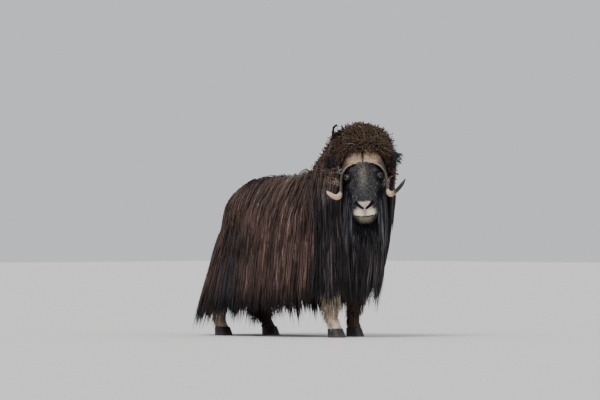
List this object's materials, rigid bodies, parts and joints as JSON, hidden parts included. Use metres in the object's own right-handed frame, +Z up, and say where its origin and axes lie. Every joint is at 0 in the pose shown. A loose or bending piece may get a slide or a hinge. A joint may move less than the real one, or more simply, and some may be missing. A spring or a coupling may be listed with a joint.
{
  "type": "muskox",
  "caption": "Life-size still model of a standing adult muskox bull with a long hanging coat, curved horns and its head turned to its right",
  "frame": {"origin": "on the floor, under the middle of the model's box", "axes": "+Z up, the trunk along Y with the animal facing -Y, its left side towards +X"},
  "size_m": [0.8548, 1.897, 1.4161],
  "materials": {
    "coat": "long dark brown hair",
    "face": "short blackish hair",
    "ear": "short dark hair",
    "eye": "wet and dark",
    "horn": "worn horn, dark at the tips",
    "leg": "short pale hair",
    "hoof": "worn black hoof"
  },
  "bodies": {
    "root": {"shoulders": "coat", "barrel": "coat", "rump": "coat", "neck": "coat", "tail": "coat", "head": "face", "ear_left": "ear", "ear_right": "ear", "eye_left": "eye", "eye_right": "eye", "horn_left": "horn", "horn_right": "horn", "foreleg_left": "leg", "foreleg_right": "leg", "hindleg_left": "leg", "hindleg_right": "leg", "foreleg_left_claw_inner": "hoof", "foreleg_left_claw_outer": "hoof", "foreleg_right_claw_inner": "hoof", "foreleg_right_claw_outer": "hoof", "hindleg_left_claw_inner": "hoof", "hindleg_left_claw_outer": "hoof", "hindleg_right_claw_inner": "hoof", "hindleg_right_claw_outer": "hoof"}
  },
  "joints": []
}
